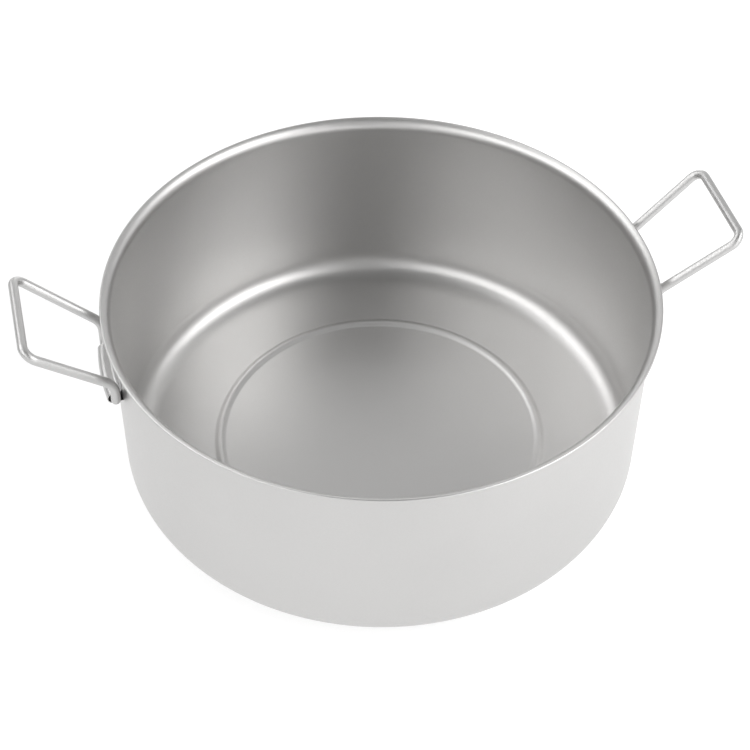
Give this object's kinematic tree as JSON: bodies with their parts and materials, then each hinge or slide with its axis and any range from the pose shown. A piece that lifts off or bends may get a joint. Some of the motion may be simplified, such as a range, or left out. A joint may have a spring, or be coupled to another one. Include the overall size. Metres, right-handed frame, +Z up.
{
  "type": "stock pot",
  "caption": "Straight-walled round metal pot, open at the top, with a flared rim and trapezoid wire handles that fold down against the wall.",
  "frame": {"origin": "middle of the base on the table plane", "axes": "+Z up along the pot's axis, +X towards the right handle, Y along the hinge axes"},
  "size_m": [0.3042, 0.236, 0.1103],
  "materials": {
    "pot_metal": "bead-blasted, fine matt satin",
    "clip_metal": "smooth rolled sheet, satin",
    "wire_metal": "drawn wire, smooth satin"
  },
  "bodies": {
    "pot": {"pot_body": "pot_metal", "clip_right": "clip_metal", "clip_left": "clip_metal"},
    "right_handle": {"handle_right": "wire_metal"},
    "left_handle": {"handle_left": "wire_metal"}
  },
  "joints": [
    {"name": "right_handle_fold", "type": "hinge", "parent": "pot", "child": "right_handle", "pos_m": [0.1168, 0, 0.0682], "axis": [0, 1, 0], "range_deg": [-10, 139]},
    {"name": "left_handle_fold", "type": "hinge", "parent": "pot", "child": "left_handle", "pos_m": [-0.1168, 0, 0.0682], "axis": [0, -1, 0], "range_deg": [-8.8, 140.2]}
  ]
}
